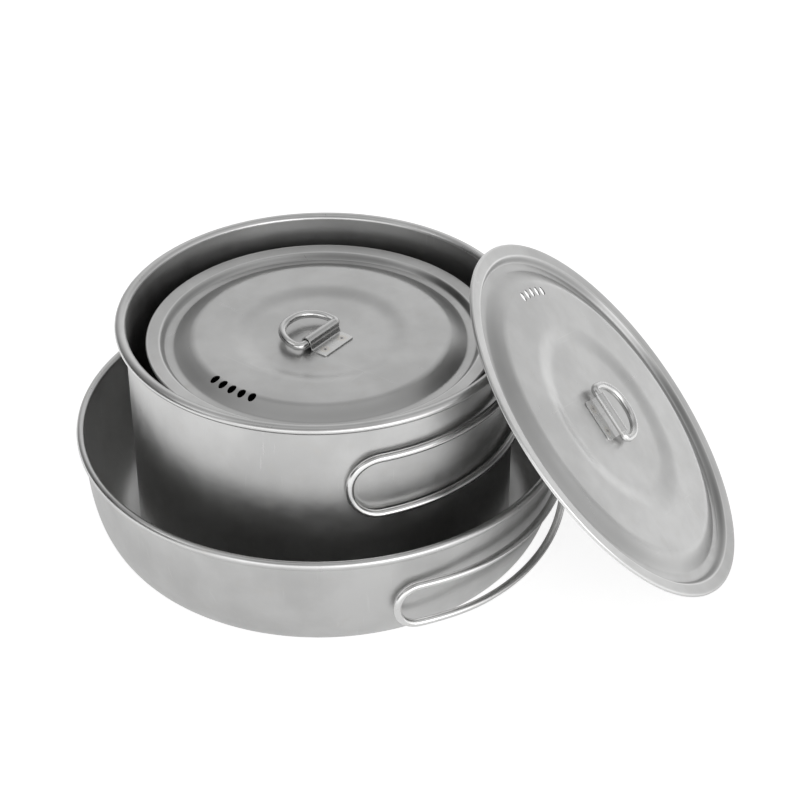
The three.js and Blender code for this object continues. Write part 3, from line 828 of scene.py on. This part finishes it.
def lid_underside(lid, top):
    """The top line moved down by the sheet, without folds, and the inside of the hem."""
    moved = offset(top, -SHEET)
    moved[0] = (0.0, top[0][1] - SHEET)
    line = []
    for r, z in moved:
        if r <= lid.edge - 1.1 and (not line or r >= line[-1][0] + 0.02):
            line.append((r, z))
    hem = [(0.66, -SHEET - 0.12), (0.5, -0.85), (0.46, -HEM)]  # inset from the edge, z
    return line + [(lid.edge - inset, z) for inset, z in hem]


def hole_cutters(key, lid):
    """Oval plugs in a row along an arc, longer along the radius."""
    cutters = []
    r = HOLE_W / 2
    profile = [(0.0, -3.4), (r, -3.4), (r, -0.9), (r, 2.0), (0.0, 2.0)]
    oval = Matrix.Diagonal((HOLE_L / HOLE_W, 1, 1, 1))
    for i in range(HOLE_COUNT):
        a = HOLE_AZ + (i - (HOLE_COUNT - 1) / 2) * HOLE_PITCH / lid.hole_r
        x, y = lid.hole_r * math.cos(a), lid.hole_r * math.sin(a)
        place = Matrix.Translation((x * MM, y * MM, 0)) @ Matrix.Rotation(a, 4, "Z") @ oval
        cutter = lathe(f"tool_{key}_{i}", profile, 48, place=place)
        cutter.data.materials.append(hole_mat)
        cutters.append(cutter)
    return cutters


def lid_disc(key, place):
    """The lid is cut in its own frame, then its mesh is turned into place."""
    lid = LIDS[key]
    top = lid_top(lid)
    ob = lathe(f"{key}_lid", lid_underside(lid, top) + top[::-1], 288)
    cutters = hole_cutters(key, lid)
    ob.data.materials.append(lid_mats[key])
    ob.data.materials.append(hole_mat)
    bpy.context.view_layer.update()
    for cutter in cutters:
        cut = ob.modifiers.new("hole", "BOOLEAN")
        cut.operation = "DIFFERENCE"
        cut.solver = "MANIFOLD"
        cut.material_mode = "TRANSFER"
        cut.object = cutter
    depsgraph = bpy.context.evaluated_depsgraph_get()
    mesh = bpy.data.meshes.new_from_object(
        ob.evaluated_get(depsgraph), preserve_all_data_layers=True, depsgraph=depsgraph
    )
    ob.modifiers.clear()
    uncut = ob.data
    ob.data = mesh
    bpy.data.meshes.remove(uncut)
    for cutter in cutters:
        bpy.data.objects.remove(cutter, do_unlink=True)
    mesh.name = ob.name
    # the material reads the upright coordinates from this attribute
    upright = [0.0] * (3 * len(mesh.vertices))
    mesh.vertices.foreach_get("co", upright)
    mesh.attributes.new("own", "FLOAT_VECTOR", "POINT").data.foreach_set("vector", upright)
    mesh.transform(place)
    mesh.shade_smooth()
    mesh.set_sharp_from_angle(angle=28 * DEG)
    register(ob, f"{key}_lid", node=f"{key}_lid_disc")


def lid_strap(key, place):
    """Sheet strap: flat plate on the dish, rolled over the ring's rod into an open tube."""
    lid = LIDS[key]
    tube_r = (RING_BORE + RING_TUBE) / 2
    # the section as (y, z): the plate climbs, rolls over the rod and tucks under
    roll = [
        (HINGE_Y + tube_r * math.cos(t * DEG), HINGE_Z + tube_r * math.sin(t * DEG))
        for t in range(196, -84, -9)
    ]
    plate = [(HINGE_Y - STRAP_DEPTH, STRAP_Z), (HINGE_Y - 2.95, STRAP_Z, 0.9), roll[0]]
    line = dense(fillet(plate, 8)[:-1], 0.35) + roll
    rows = []
    run = 0.0
    for i, (y, z) in enumerate(line):
        if i:
            run += math.hypot(y - line[i - 1][0], z - line[i - 1][1])
        # round the two free corners of the plate
        inset = max(0.0, STRAP_CORNER - run)
        trim = STRAP_CORNER - math.sqrt(STRAP_CORNER * STRAP_CORNER - inset * inset)
        half = STRAP_LEN / 2 - trim
        along = direction(line, i)
        normal = (0, -along.y, along.x)
        rows.append([((lid.strap_x + half * (-1 + 2 * j / 24), y, z), normal) for j in range(25)])
    ob = sheet_grid(f"{key}_lid_strap", rows, STRAP * 0.94, place=place)
    add_bevel(ob, width=0.09, segments=2)
    body = f"{key}_lid"
    node = f"{key}_lid_hinge_strap"
    register(ob, body, node=node, material=strap_mats[key])
    for i, side in enumerate((-1, 1)):
        at = (lid.strap_x + side * STRAP_WELD_X, STRAP_WELD_Y, STRAP_Z + STRAP * 0.47)
        name = f"{key}_lid_strap_weld_{i + 1}"
        weld_spot(name, body, at, (0, 0, 1), radius=0.5, material=weld_mat, place=place)


def lid_ring(key, place):
    """D-shaped wire ring, its straight side in the strap, lifted by RING_REST."""
    middle = LIDS[key].ring_x
    x0, x1 = middle - RING_HALF, middle + RING_HALF
    outline = [
        (middle, 0),
        (x1, 0, 2.2),
        (x1 - 0.2, RING_DEPTH, RING_BOW),
        (x0 + 0.2, RING_DEPTH, RING_BOW),
        (x0, 0, 2.2),
        (middle, 0),
    ]
    flat = dense(fillet(outline, 18), 1.2)[:-1]
    c, s = math.cos(RING_REST), math.sin(RING_REST)
    path = [(x, HINGE_Y + y * c, HINGE_Z + y * s) for x, y in flat]
    ob = rod(f"{key}_lid_d_ring", path, closed=True, place=place)
    outward(ob)
    body = f"{key}_lid_ring"
    register(ob, body, node=body, material=rod_mat)


def leaning_place():
    """Frame of the large lid: its edge stands on LEAN_FOOT, its top faces out and up."""
    out = Vector((math.cos(LEAN_AZ), math.sin(LEAN_AZ), 0))
    up = Vector((0, 0, 1))
    normal = out * math.sin(LEAN) + up * math.cos(LEAN)
    climb = out * -math.cos(LEAN) + up * math.sin(LEAN)
    across = normal.cross(climb)
    x_axis = climb * math.cos(LEAN_TURN) + across * math.sin(LEAN_TURN)
    y_axis = climb * -math.sin(LEAN_TURN) + across * math.cos(LEAN_TURN)
    place = Matrix((x_axis, y_axis, normal)).transposed().to_4x4()
    place.translation = (Vector(LEAN_FOOT) + climb * LARGE_LID_R) * MM
    return place


def lid_painted_light_bands(lid):
    # painted shade on the slope into the groove and on its outer wall, painted highlight on the
    # wall's top and the outer edge
    return [
        ((lid.plateau + lid.groove) / 2 + 0.6, 3.0, 0.84),  # slope into the groove
        (lid.wall + 0.75, 0.95, 0.52),  # groove's outer wall
        (lid.wall + 2.1, 0.35, 1.25),  # top of that wall
        (lid.edge - 0.1, 0.7, 1.3),  # outer edge
    ]


def strap_tint(lid):
    z = STRAP_Z + STRAP / 2
    return [(lid.strap_x + side * STRAP_WELD_X, STRAP_WELD_Y, z, 2.6) for side in (-1, 1)]


lid_mats = {
    key: titanium(
        f"titanium_{key}_lid", base=SHEET_COLOR, rough=0.33, spin=0.35, own=True,
        painted_light_bands=lid_painted_light_bands(lid),
    )
    for key, lid in LIDS.items()
}
weld_mat = titanium("titanium_weld", base=WELD_COLOR, rough=0.35, grain=0.4, spin=0.0, wear=0.2)
strap_mats = {
    key: titanium(
        f"titanium_strap_{key}", base=STRAP_SHEEN_COLOR, rough=0.27, grain=0.4, spin=0.0, wear=1.2,
        tint=strap_tint(lid),
    )
    for key, lid in LIDS.items()
}

small_place = Matrix.Translation((0, 0, SMALL_LID_Z * MM)) @ Matrix.Rotation(SMALL_LID_TURN, 4, "Z")
for key, place in (("small", small_place), ("large", leaning_place())):
    lid_disc(key, place)
    lid_strap(key, place)
    lid_ring(key, place)

# ------------------------------------------------- stage and light, in metres
FLOOR_HALF, FLOOR_Z = 3.0, -0.0003
# own light and albedo of the floor, as the camera sees it and as all other rays do
FLOOR_SEEN = dict(level=0.80, albedo=0.50)
FLOOR_MIRRORED = dict(level=0.518, albedo=0.55)
ROOM = 0.0  # even light of the room
# soft lights of the room: azimuth from +Y toward +X, elevation, narrowness, level
LOBES = [
    (-150, 10, 12, 1.926),
    (-30, 10, 12, 0.376),
    (0, 10, 12, 0.369),
    (30, 10, 12, 0.740),
    (60, 10, 12, 0.374),
    (90, 10, 12, 0.424),
    (120, 10, 12, 0.803),
    (150, 10, 12, 3.231),
    (180, 10, 12, 0.450),
    (0, 38, 10, 0.620),
    (90, 38, 10, 0.345),
    (135, 38, 10, 0.126),
    (180, 38, 10, 0.151),
    (90, 66, 10, 0.569),
    (-90, 66, 10, 0.696),
    (0, 90, 10, 0.093),
]
LAMP_AT, LAMP_TARGET = (-0.95, -0.25, 0.95), (0.02, 0, 0.06)
LAMP_SIZE, LAMP_POWER = 0.5, 0.84
CAMERA_AT, CAMERA_PITCH = (0.03182, -0.71238, 0.54259), 34.387  # pitch: degrees below level
CAMERA_LENS, CAMERA_SENSOR = 94.5, 36.0


def floor_material():
    material = bpy.data.materials.new("pale_floor")
    s = Shader(material)

    def lit(name, level, albedo):
        diffuse = s.node("ShaderNodeBsdfDiffuse")
        diffuse.inputs[0].default_value = (albedo, albedo, albedo, 1)
        glow = s.node("ShaderNodeEmission", name=name)
        glow.inputs[0].default_value = (level, level, level, 1)
        glow.inputs[1].default_value = 1.0
        both = s.node("ShaderNodeAddShader")
        s.feed_all(both.inputs, (diffuse.outputs[0], glow.outputs[0]))
        return both.outputs[0], glow

    output = s.node("ShaderNodeOutputMaterial")
    light_path = s.node("ShaderNodeLightPath")
    choose = s.node("ShaderNodeMixShader")
    seen, _ = lit("seen", **FLOOR_SEEN)
    mirrored, mirrored_glow = lit("mirrored", **FLOOR_MIRRORED)
    # in reflections the floor's glow carries painted shade: darker near the vessels, brighter away
    # from them, and a painted shadow under the leaning lid
    position = s.node("ShaderNodeNewGeometry").outputs["Position"]
    from_axis = s.distance(position, (0, 0, 0))
    far = s.ramp(from_axis, low=0.145, high=0.215, out_low=0.92, out_high=1.6)
    from_lid = s.distance(position, (0.140, -0.030, 0))
    shade = s.ramp(from_lid, low=0.02, high=0.085, out_low=0.25)
    s.feed(mirrored_glow.inputs[1], s.math("MULTIPLY", far, shade))
    s.feed_all(choose.inputs, (light_path.outputs["Is Camera Ray"], mirrored, seen))
    s.feed(output.inputs[0], choose.outputs[0])
    return material


def build_floor():
    mesh = bpy.data.meshes.new("floor")
    h = FLOOR_HALF
    mesh.from_pydata([(-h, -h, 0), (h, -h, 0), (h, h, 0), (-h, h, 0)], [], [(0, 1, 2, 3)])
    floor = bpy.data.objects.new("floor", mesh)
    floor.location.z = FLOOR_Z
    bpy.context.scene.collection.objects.link(floor)
    mesh.materials.append(floor_material())


def build_world():
    """The camera sees a plain pale backdrop; everything else is lit by the room."""
    world = bpy.data.worlds.new("studio")
    bpy.context.scene.world = world
    s = Shader(world)
    output = s.node("ShaderNodeOutputWorld")
    room = s.node("ShaderNodeBackground")
    plain = s.node("ShaderNodeBackground")
    plain.inputs["Color"].default_value = (1, 1, 1, 1)
    choose = s.node("ShaderNodeMixShader")
    camera_ray = s.node("ShaderNodeLightPath").outputs["Is Camera Ray"]
    s.feed_all(choose.inputs, (camera_ray, room.outputs[0], plain.outputs[0]))
    s.feed(output.inputs[0], choose.outputs[0])
    toward = s.node("ShaderNodeTexCoord").outputs["Generated"]

    def level_node(index, level):
        node = s.node("ShaderNodeVectorMath", operation="SCALE", name=f"level_{index}")
        node.inputs[0].default_value = (level, level, level)
        node.inputs["Scale"].default_value = 1.0
        return node

    total = level_node(0, ROOM).outputs["Vector"]
    for i, (azimuth, elevation, narrowness, level) in enumerate(LOBES, 1):
        az, el = azimuth * DEG, elevation * DEG
        scaled = level_node(i, level)
        facing = s.node("ShaderNodeVectorMath", operation="DOT_PRODUCT")
        center = (math.sin(az) * math.cos(el), math.cos(az) * math.cos(el), math.sin(el))
        s.feed_all(facing.inputs, (toward, center))
        off = s.math("SUBTRACT", facing.outputs["Value"], 1.0)
        lobe = s.math("EXPONENT", s.math("MULTIPLY", off, float(narrowness)))
        s.feed(scaled.inputs["Scale"], lobe)
        added = s.node("ShaderNodeVectorMath", operation="ADD")
        s.feed_all(added.inputs, (total, scaled.outputs["Vector"]))
        total = added.outputs["Vector"]
    s.feed(room.inputs["Color"], total)


def build_lamp():
    light = bpy.data.lights.new("left", "AREA")
    light.shape = "RECTANGLE"
    light.size = light.size_y = LAMP_SIZE
    light.energy = LAMP_POWER
    lamp = bpy.data.objects.new("left", light)
    bpy.context.scene.collection.objects.link(lamp)
    lamp.location = LAMP_AT
    aim = Vector(LAMP_TARGET) - Vector(LAMP_AT)
    lamp.rotation_euler = aim.to_track_quat("-Z", "Y").to_euler()


def build_camera():
    scene = bpy.context.scene
    data = bpy.data.cameras.new("camera")
    data.lens = CAMERA_LENS
    data.sensor_width = CAMERA_SENSOR
    data.clip_start = 0.01
    data.clip_end = 20
    camera = bpy.data.objects.new("camera", data)
    camera.location = CAMERA_AT
    camera.rotation_euler = ((90 - CAMERA_PITCH) * DEG, 0, 0)
    scene.collection.objects.link(camera)
    scene.camera = camera
    view = scene.view_settings
    view.view_transform = "Standard"
    view.look = "None"
    view.exposure = 0.0
    view.gamma = 1.0


build_floor()
build_world()
build_lamp()
build_camera()
